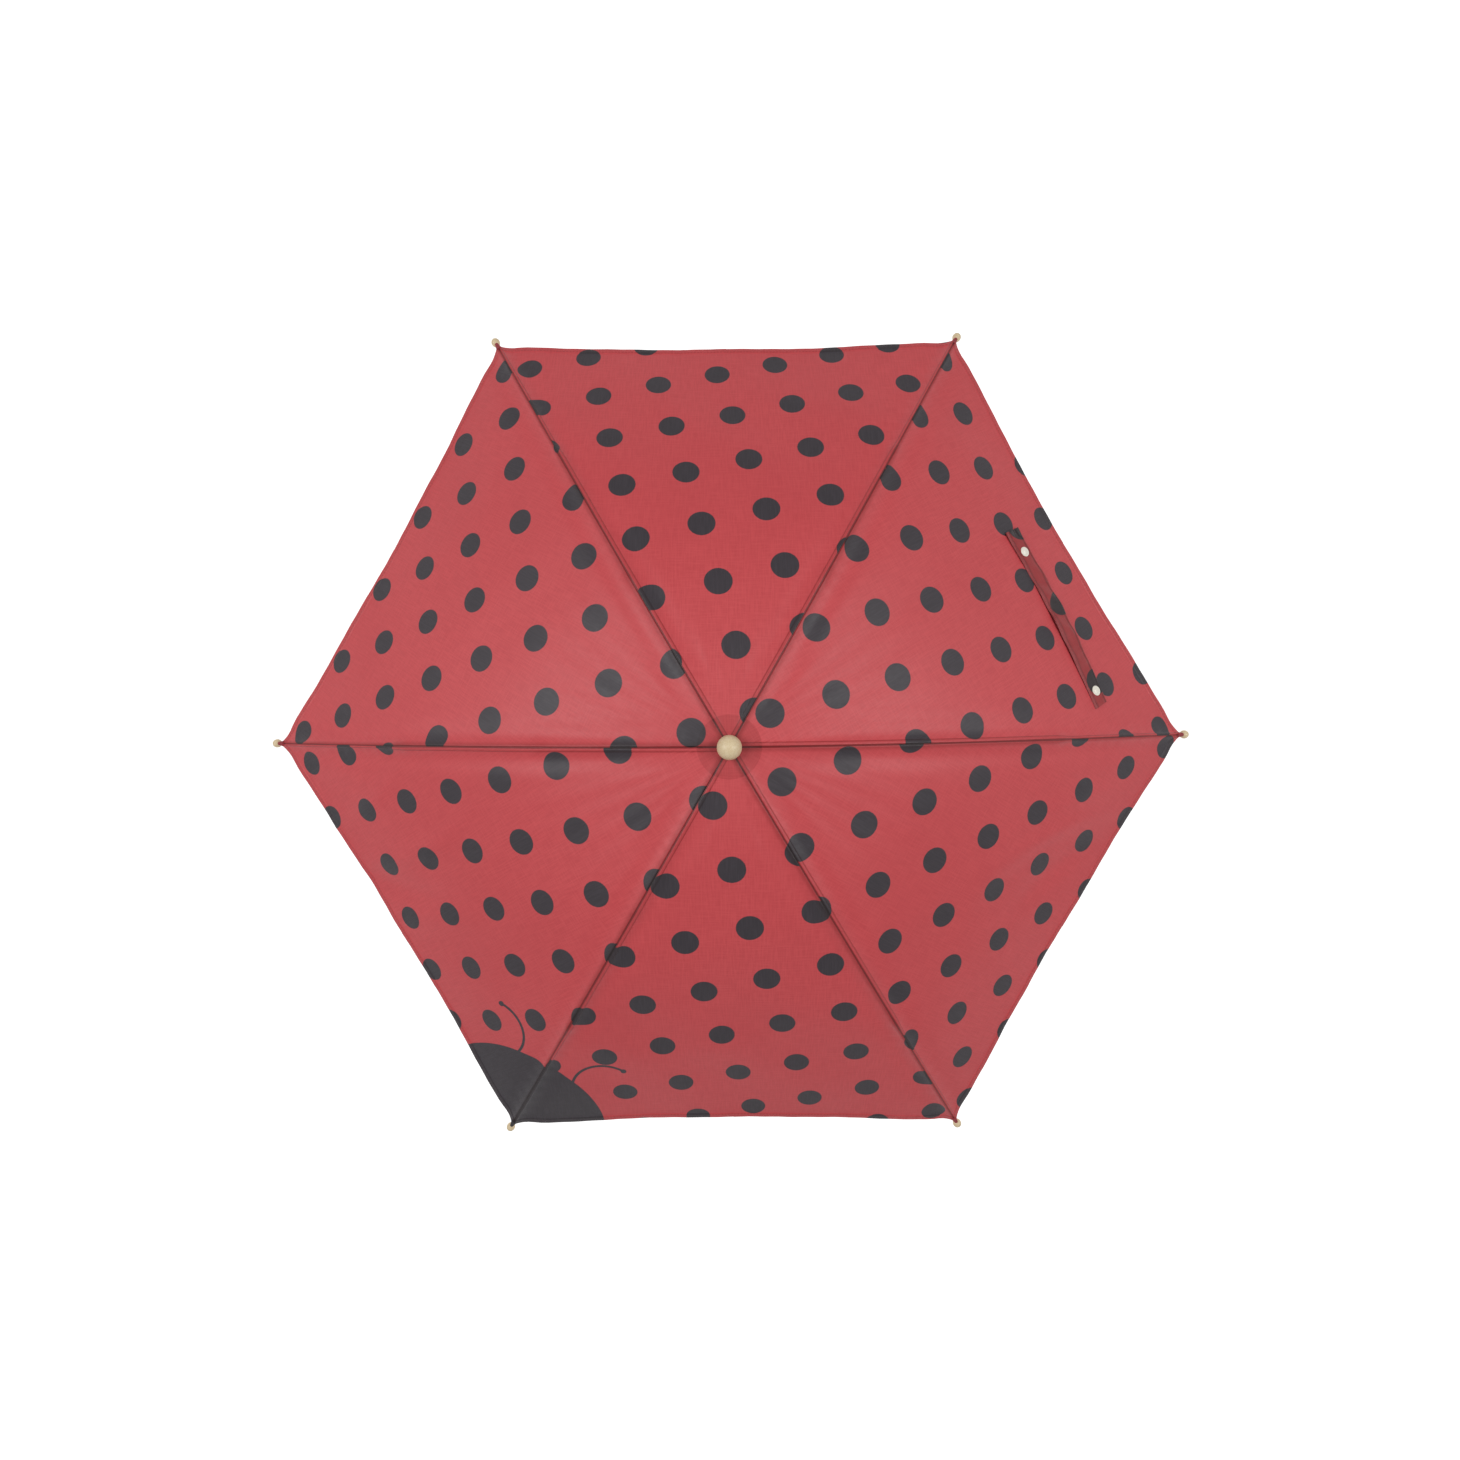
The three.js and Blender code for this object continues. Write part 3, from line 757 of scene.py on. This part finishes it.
def closing_strap():
    rows = 90
    share = np.linspace(0, 1, rows)
    across = np.array([-1, -0.985, -0.95, -0.9, -0.83, -0.76, -0.68, -0.5, -0.3, -0.15, 0])
    across = np.concatenate([across, -across[-2::-1]]) * STRAP_WIDTH / 2
    along, wide = np.meshgrid(share, across, indexing="ij")
    top = strap_surface(along, wide, strap_height(along, wide))
    bottom = strap_surface(along, wide, np.full_like(along, STRAP_LIFT * 0.7))

    def normals(points):
        down = np.gradient(points, axis=0)
        over = np.gradient(points, axis=1)
        n = np.cross(over, down)
        n *= np.sign(n[..., 2:3])
        return n / np.linalg.norm(n, axis=-1, keepdims=True)

    made = slab(
        "closing_strap_band",
        to_row(top, 0),
        to_row(bottom, 0),
        turn_only(normals(top), 0),
        turn_only(-normals(bottom), 0),
        True,
        PRINTED,
    )
    length = float(np.linalg.norm(np.array(STRAP_SEWN_END) - np.array(STRAP_FREE_END)))
    u, v = wide, along * length
    first, second = lattice(u, v, (44.0, 0.333, 0.209))
    none = np.zeros_like(u)
    edge = STRAP_WIDTH / 2 - np.abs(wide)
    both = {
        "cut": (u + 9.0, v, none + 0.44),
        "print": (first, second, none),
        "edges": (none + 9.0, edge + HEM_FOLD - 0.0034, none + 1.0),
        "corner": (none, none, none),
    }
    for attribute, parts in both.items():
        values = np.stack(parts, -1).reshape(-1, 3)
        set_attribute(made.data, attribute, np.concatenate([values, values]))
    return made, length


def snap_cap(name, share):
    """A domed cap with a raised rim, on the strap."""
    along, across = np.array([share]), np.array([0.0])
    seat = strap_surface(along, across, strap_height(along, across) - 0.0003)[0]
    over = strap_surface(along, across, strap_height(along, across) + 0.01)[0]
    up = Vector(turn_only((over - seat)[None], 0)[0]).normalized()
    turn = up.to_track_quat("Z", "Y").to_matrix().to_4x4()
    place = Matrix.Translation(Vector(to_row(seat[None], 0)[0])) @ turn
    radius, rim = 0.0046, 0.0006
    profile = [(0, 0), (radius - 0.0002, 0)]
    profile += arc((radius - rim, rim), rim, -60, 90, 6)
    profile += [(radius - 0.0014, 0.00095), (radius - 0.0021, 0.00115)]
    profile += [(radius * 0.42, 0.0016), (radius * 0.22, 0.00175), (0, 0.0018)]
    vertices, faces = revolve(profile, 40)
    made = add_mesh(name, vertices, faces, CREAM)
    made.data.transform(place)
    return made


strap, strap_length = closing_strap()
caps = [snap_cap(f"snap_cap_dome_{n + 1}", share) for n, share in enumerate(SNAP_PLACES)]
# the strap and its snap caps ride on the first outer rib, in place of their CAD parts
for n, made in enumerate([strap, *caps]):
    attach(made, "outer_rib_1")
    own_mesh(made)
    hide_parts(("closing_strap", "snap_cap_1", "snap_cap_2")[n])


# ---------------------------------------------------------------- wood: ball, beads, handle

BALL_RADIUS = 0.0095
ball_low, ball_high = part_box("ferrule_ball")
ball_centre = ball_high.z - BALL_RADIUS
neck = 0.0050
seat_angle = math.degrees(math.asin((APEX + 0.0003 - ball_centre) / BALL_RADIUS))
ball = [(0, ball_low.z), (neck, ball_low.z), (neck, APEX + 0.0003)]
ball += arc((0, ball_centre), BALL_RADIUS, seat_angle, 90, 28)
turned("ferrule_ball_turned", ball, WOOD, "upper_shaft", "ferrule_ball")

BEAD_RADIUS = 0.0040
OUTER_SLOPE = math.radians(25.0)
for arm in range(ARMS):
    number = arm + 1
    low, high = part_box(f"rib_tip_{number}")
    out = Vector((math.cos(arm_turn(arm)), math.sin(arm_turn(arm)), 0))
    run = out * math.cos(OUTER_SLOPE) - Vector((0, 0, 1)) * math.sin(OUTER_SLOPE)
    place = Matrix.Translation((low + high) / 2) @ run.to_track_quat("Z", "Y").to_matrix().to_4x4()
    bore = 0.0015
    mouth = -math.degrees(math.acos(bore / BEAD_RADIUS))
    bead = [(0, -0.0015), (bore, -0.0015), (bore, BEAD_RADIUS * math.sin(math.radians(mouth)))]
    bead += arc((0, 0), BEAD_RADIUS, mouth, 90, 22)[1:]
    body, node = f"outer_rib_{number}", f"rib_tip_{number}"
    turned(f"rib_tip_bead_{number}", bead, WOOD, body, node, 40, place)

handle_low, handle_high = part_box("handle")
HANDLE_POINTS = [
    (0.0126, 0.0022),
    (0.0140, 0.0140),
    (0.0136, 0.0300),
    (0.0120, 0.0480),
    (0.0099, 0.0600),
    (0.0090, 0.0650),
]


def spline(points, steps):
    """A Catmull-Rom line through the points."""
    p = [np.array(q) for q in points]
    p = [2 * p[0] - p[1], *p, 2 * p[-1] - p[-2]]
    out = []
    for a, b, c, d in zip(p, p[1:], p[2:], p[3:]):
        for k in range(steps):
            t = k / steps
            square = (2 * a - 5 * b + 4 * c - d) * t**2
            cube = (3 * b - a - 3 * c + d) * t**3
            out.append(0.5 * (2 * b + (c - a) * t + square + cube))
    return [tuple(q) for q in out] + [tuple(p[-2])]


side_line = [(r, handle_low.z + z) for r, z in spline(HANDLE_POINTS, 7)]
bottom_edge = [
    (0, handle_low.z),
    (0.0095, handle_low.z),
    (0.0105, handle_low.z + 0.0003),
    (0.0118, handle_low.z + 0.0011),
]
top_edge = [
    (0.0090, handle_high.z - 0.0008),
    (0.0086, handle_high.z - 0.0002),
    (0.0081, handle_high.z),
    (0.0035, handle_high.z),
    (0.0035, 0.0150),
    (0, 0.0150),
]
turned("handle_turned", bottom_edge + side_line + top_edge, WOOD, "handle", "handle", 80)


# ---------------------------------------------------------------- shaft tubes and the handle's ring


def tube_piece(name, node, body, outer, wall, segments=48):
    low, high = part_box(node)
    section = [(outer - wall, low.z), (outer, low.z), (outer, high.z), (outer - wall, high.z)]
    return turned(name, rounded(section, 0.0004), STEEL, body, node, segments)


tube_piece("lower_tube_drawn", "lower_tube", "handle", 0.0032, 0.0006)
tube_piece("middle_tube_drawn", "middle_tube", "middle_shaft", 0.0041, 0.0006)
tube_piece("upper_tube_drawn", "upper_tube", "upper_shaft", 0.0050, 0.0006)
ring_low, ring_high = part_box("handle_ring")
ring = [(0.0093, ring_low.z), (0.0103, ring_low.z), (0.0103, ring_high.z), (0.0093, ring_high.z)]
turned("handle_ring_rolled", rounded(ring, 0.0004), STEEL, "handle", "handle_ring", 64)


ROSETTE_HOLE, ROSETTE_EDGE = 0.0062, 0.0247


def rosette_sector(arm):
    """One arm's share of the lining disc under the crown, with a pinked edge and a soft flute."""
    rows, columns = 16, 73
    radius = np.linspace(ROSETTE_HOLE, ROSETTE_EDGE, rows)
    r, t = np.meshgrid(radius, np.linspace(-MID, MID, columns), indexing="ij")
    grow = (r - ROSETTE_HOLE) / (ROSETTE_EDGE - ROSETTE_HOLE)
    r = r + grow**8 * 0.0006 * (2 * np.abs((t * 72 / (2 * math.pi)) % 1 - 0.5) - 0.5)
    height = -0.0016 - grow * 0.0030 + 0.0003 * grow * np.cos(6 * t)
    outer = np.stack([r * np.cos(t), r * np.sin(t), height], -1)
    normal = np.stack([0.16 * np.cos(t), 0.16 * np.sin(t), np.ones_like(t)], -1)
    normal /= np.linalg.norm(normal, axis=-1, keepdims=True)
    upper, lower = to_row(outer, arm), to_row(outer - normal * 0.0003, arm)
    facing = turn_only(normal, arm)
    made = slab(f"crown_rosette_{arm + 1}_sector", upper, lower, facing, -facing, False, ROSETTE)
    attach(made, f"top_rib_{arm + 1}")
    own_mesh(made)
    return made


def rosette_material():
    """Plain-woven dark red lining."""
    s = Shader("lining_cloth")
    place = s.place()
    uv = s.split(place)
    warp = s.math("SINE", s.math("MULTIPLY", uv[0], 12000.0))
    weft = s.math("SINE", s.math("MULTIPLY", uv[1], 12000.0))
    s.bump(s.math("MULTIPLY", warp, weft), 0.3, 0.0001)
    tone = s.noise(300.0, 3.0, place)
    return s.finish(
        Base_Color=s.mix(tone, (0.24, 0.022, 0.026, 1), (0.33, 0.032, 0.038, 1)),
        Roughness=0.75,
        Sheen_Weight=0.3,
    )


ROSETTE = rosette_material()
sectors = [rosette_sector(arm) for arm in range(ARMS)]
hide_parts("crown_rosette")


# ---------------------------------------------------------------- rivets

TOP_CHEEK, WIDE_CHEEK, LINK_FACE = 0.0018, 0.0029, 0.0040


def dome(out, up_to):
    shoulder = [(out * 0.96, up_to * 0.4), (out * 0.75, up_to * 0.78), (out * 0.4, up_to * 0.97)]
    return [(0, 0), (out, 0), *shoulder, (0, up_to)]


def rivets(name, body, heads, radius=0.00135, height=0.00045):
    """Round rivet heads, each a point on the pin's axis, the axis, and the signed distance along it."""
    vertices, faces = [], []
    head_vertices, head_faces = revolve(dome(radius, height), 20)
    for point, axis, reach in heads:
        way = Vector(axis) * (1 if reach > 0 else -1)
        place = Matrix.Translation(Vector(point) + Vector(axis) * reach)
        place = place @ way.to_track_quat("Z", "Y").to_matrix().to_4x4()
        first = len(vertices)
        vertices += [place @ Vector(v) for v in head_vertices]
        faces += [[first + k for k in f] for f in head_faces]
    made = add_mesh(name, vertices, faces, STEEL)
    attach(made, body)
    return made


hinges = {j["name"]: j for j in frame["joints"]}


def pin_of(joint):
    return hinges[joint]["pos_m"], hinges[joint]["axis"]


def both_ways(pin, reach):
    return [(*pin, reach), (*pin, -reach)]


def arm_point(arm, x, z):
    return tuple(to_row(np.array([[x, 0.0, z]]), arm)[0])


crown_heads = [h for n in range(1, 7) for h in both_ways(pin_of(f"top_rib_fold_{n}"), TOP_CHEEK)]
runner_heads = [h for n in range(1, 7) for h in both_ways(pin_of(f"stretcher_fold_{n}"), WIDE_CHEEK)]
rivets("crown_rivets", "upper_shaft", crown_heads)
rivets("runner_rivets", "runner", runner_heads)
for arm in range(ARMS):
    n = arm + 1
    rivets(f"inner_fold_rivets_{n}", f"top_rib_{n}", both_ways(pin_of(f"middle_rib_fold_{n}"), WIDE_CHEEK))
    rivets(f"outer_fold_rivets_{n}", f"outer_rib_{n}", both_ways(pin_of(f"outer_rib_fold_{n}"), WIDE_CHEEK))
    lug = (arm_point(arm, 0.07112, -0.01673), pin_of(f"middle_rib_fold_{n}")[1])
    rivets(f"stretcher_rivets_{n}", f"stretcher_{n}", both_ways(lug, WIDE_CHEEK))
    rivets(f"link_rivet_{n}", f"drive_link_{n}", [(*pin_of(f"drive_link_fold_{n}"), LINK_FACE)])


# ---------------------------------------------------------------- thread


def thread_material(name, dark, light):
    """Twisted sewing thread."""
    s = Shader(name)
    twist = s.noise(2600.0, 2.0, s.place())
    s.bump(twist, 0.5, 0.0001)
    colour = s.mix(s.step(0.35, 0.65, twist), (*dark, 1), (*light, 1))
    return s.finish(Base_Color=colour, Roughness=0.7, Sheen_Weight=0.2)


RED_THREAD = thread_material("red_thread", (0.20, 0.014, 0.020), (0.34, 0.030, 0.038))
DARK_THREAD = thread_material("dark_thread", (0.016, 0.013, 0.016), (0.032, 0.026, 0.032))


def rib_line(x):
    """Height below the apex of the line of ribs under the cloth."""
    if x < 0.15087:
        return -0.0062 - (x - 0.010) * math.tan(math.radians(8.3))
    if x < 0.28198:
        return -0.02493 - (x - 0.15087) * math.tan(math.radians(20.4))
    return -0.07775 + 0.002 / math.cos(OUTER_SLOPE) - (x - 0.28198) * math.tan(OUTER_SLOPE)


def tip_binding(arm):
    """Thread wound round the gathered corner of the cloth, from the hem to the bead."""
    number = arm + 1
    low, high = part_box(f"rib_tip_{number}")
    bead = (low + high) / 2
    out = Vector((math.cos(arm_turn(arm)), math.sin(arm_turn(arm)), 0))
    start = out * 0.4205 + Vector((0, 0, APEX - drop(0.4205) - 0.0014))
    run = bead - start
    length = run.length - 0.0034
    profile = [(0, 0), (0.0012, 0)]
    turns = 7
    for k in range(turns * 6 + 1):
        share = k / (turns * 6)
        wound = 0.0011 * (1 - share) + 0.0016 + 0.00016 * math.cos(2 * math.pi * share * turns)
        profile.append((wound, 0.0004 + share * (length - 0.0004)))
    profile += [(0.0010, length + 0.0001), (0, length + 0.0001)]
    vertices, faces = revolve(profile, 28)
    place = Matrix.Translation(start) @ run.to_track_quat("Z", "Y").to_matrix().to_4x4()
    thread = DARK_THREAD if arm == CORNER_ARM else RED_THREAD
    made = add_mesh(f"tip_binding_{number}", vertices, faces, thread)
    made.data.transform(place)
    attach(made, f"outer_rib_{number}")


def rib_tie(arm, x, half_width, body, label):
    """Two turns of thread round a rib, sewn through the seam above it."""
    top, bottom = -drop(x) - 0.0006, rib_line(x) - 0.0017
    middle, half_height = (top + bottom) / 2, (top - bottom) / 2
    around, tube = 40, 8
    vertices, faces = [], []
    for turn in range(2):
        first = len(vertices)
        for k in range(around):
            a = 2 * math.pi * k / around
            centre = np.array([x + turn * 0.0009 + 0.0003 * math.sin(a), half_width * math.cos(a), 0.0])
            centre[2] = middle + half_height * math.sin(a) - (turn * 0.0009) * steepness(x)
            away = np.array([0.0, math.cos(a), math.sin(a)])
            for m in range(tube):
                b = 2 * math.pi * m / tube
                offset = away * math.cos(b) + np.array([1.0, 0, 0]) * math.sin(b)
                vertices.append(centre + offset * 0.0004)
        for k in range(around):
            for m in range(tube):
                a, b = first + k * tube, first + (k + 1) % around * tube
                faces.append([a + m, a + (m + 1) % tube, b + (m + 1) % tube, b + m])
    points = to_row(np.array(vertices), arm)
    made = add_mesh(f"rib_tie_{label}_{arm + 1}", points, faces, RED_THREAD)
    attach(made, body.format(arm + 1))


for arm in range(ARMS):
    tip_binding(arm)
    rib_tie(arm, 0.262, 0.0036, "middle_rib_{}", "middle")
    rib_tie(arm, 0.360, 0.0022, "outer_rib_{}", "outer")


# ---------------------------------------------------------------- CAD nodes that stay

LOOKS = {
    "top_rib": STEEL,
    "middle_rib": STEEL,
    "stretcher": STEEL,
    "drive_link": STEEL,
    "outer_rib": ROD,
    "crown_notch": BLACK,
    "runner": BLACK,
    "runner_button": WOOD,
}
for name, node in frame["nodes"].items():
    kind = name.rstrip("0123456789").rstrip("_")
    if node.hide_render or kind not in LOOKS:
        continue
    node.data.materials.clear()
    node.data.materials.append(LOOKS[kind])
    node.data.polygons.foreach_set("use_smooth", [True] * len(node.data.polygons))
    node.data.set_sharp_from_angle(angle=math.radians(32))
    bevel = node.modifiers.new("softened_edges", "BEVEL")
    bevel.width = 0.00012
    bevel.segments = 2
    bevel.limit_method = "ANGLE"
    bevel.angle_limit = math.radians(40)
    bevel.harden_normals = True


# ---------------------------------------------------------------- floor, light and camera

FLOOR_DROP = 0.9
floor_mesh = bpy.data.meshes.new("floor")
half = 6.0
floor_corners = [(-half, -half, 0), (half, -half, 0), (half, half, 0), (-half, half, 0)]
floor_mesh.from_pydata(floor_corners, [], [(0, 1, 2, 3)])
floor_mesh.materials.append(floor_material())
floor = bpy.data.objects.new("floor", floor_mesh)
floor.location.z = -FLOOR_DROP
bpy.context.scene.collection.objects.link(floor)

bpy.context.scene.view_settings.view_transform = "Standard"

world = bpy.context.scene.world or bpy.data.worlds.new("studio")
bpy.context.scene.world = world
world.use_nodes = True
world.node_tree.nodes["Background"].inputs["Color"].default_value = (1.0, 1.0, 1.0, 1)
world.node_tree.nodes["Background"].inputs["Strength"].default_value = 0.40


def softbox(name, place, target, size, power):
    light = bpy.data.lights.new(name, "AREA")
    light.shape = "RECTANGLE"
    light.size, light.size_y = size
    light.energy = power
    made = bpy.data.objects.new(name, light)
    made.location = place
    made.rotation_mode = "QUATERNION"
    made.rotation_quaternion = (Vector(target) - Vector(place)).to_track_quat("-Z", "Y")
    bpy.context.scene.collection.objects.link(made)
    return made


aim = (0, 0, APEX - 0.08)
softbox("left_softbox", (-1.05, 0.20, APEX + 1.15), aim, (0.7, 0.9), 11.2)
softbox("right_softbox", (1.05, 0.15, APEX + 1.15), aim, (0.7, 0.9), 10.0)

CAMERA_OFFSET = (0.0023, 0.0305)
CAMERA_HEIGHT = 0.5661
camera_data = bpy.data.cameras.new("camera")
camera_data.sensor_width = 36.0
camera_data.lens = 18.40
camera_data.clip_start, camera_data.clip_end = 0.01, 50
camera = bpy.data.objects.new("camera", camera_data)
turn = (
    Matrix.Rotation(math.radians(-0.566), 4, "Z")
    @ Matrix.Rotation(math.radians(-1.776), 4, "X")
    @ Matrix.Rotation(math.radians(0.154), 4, "Y")
)
camera.matrix_world = Matrix.Translation((*CAMERA_OFFSET, APEX + CAMERA_HEIGHT)) @ turn
bpy.context.scene.collection.objects.link(camera)
bpy.context.scene.camera = camera
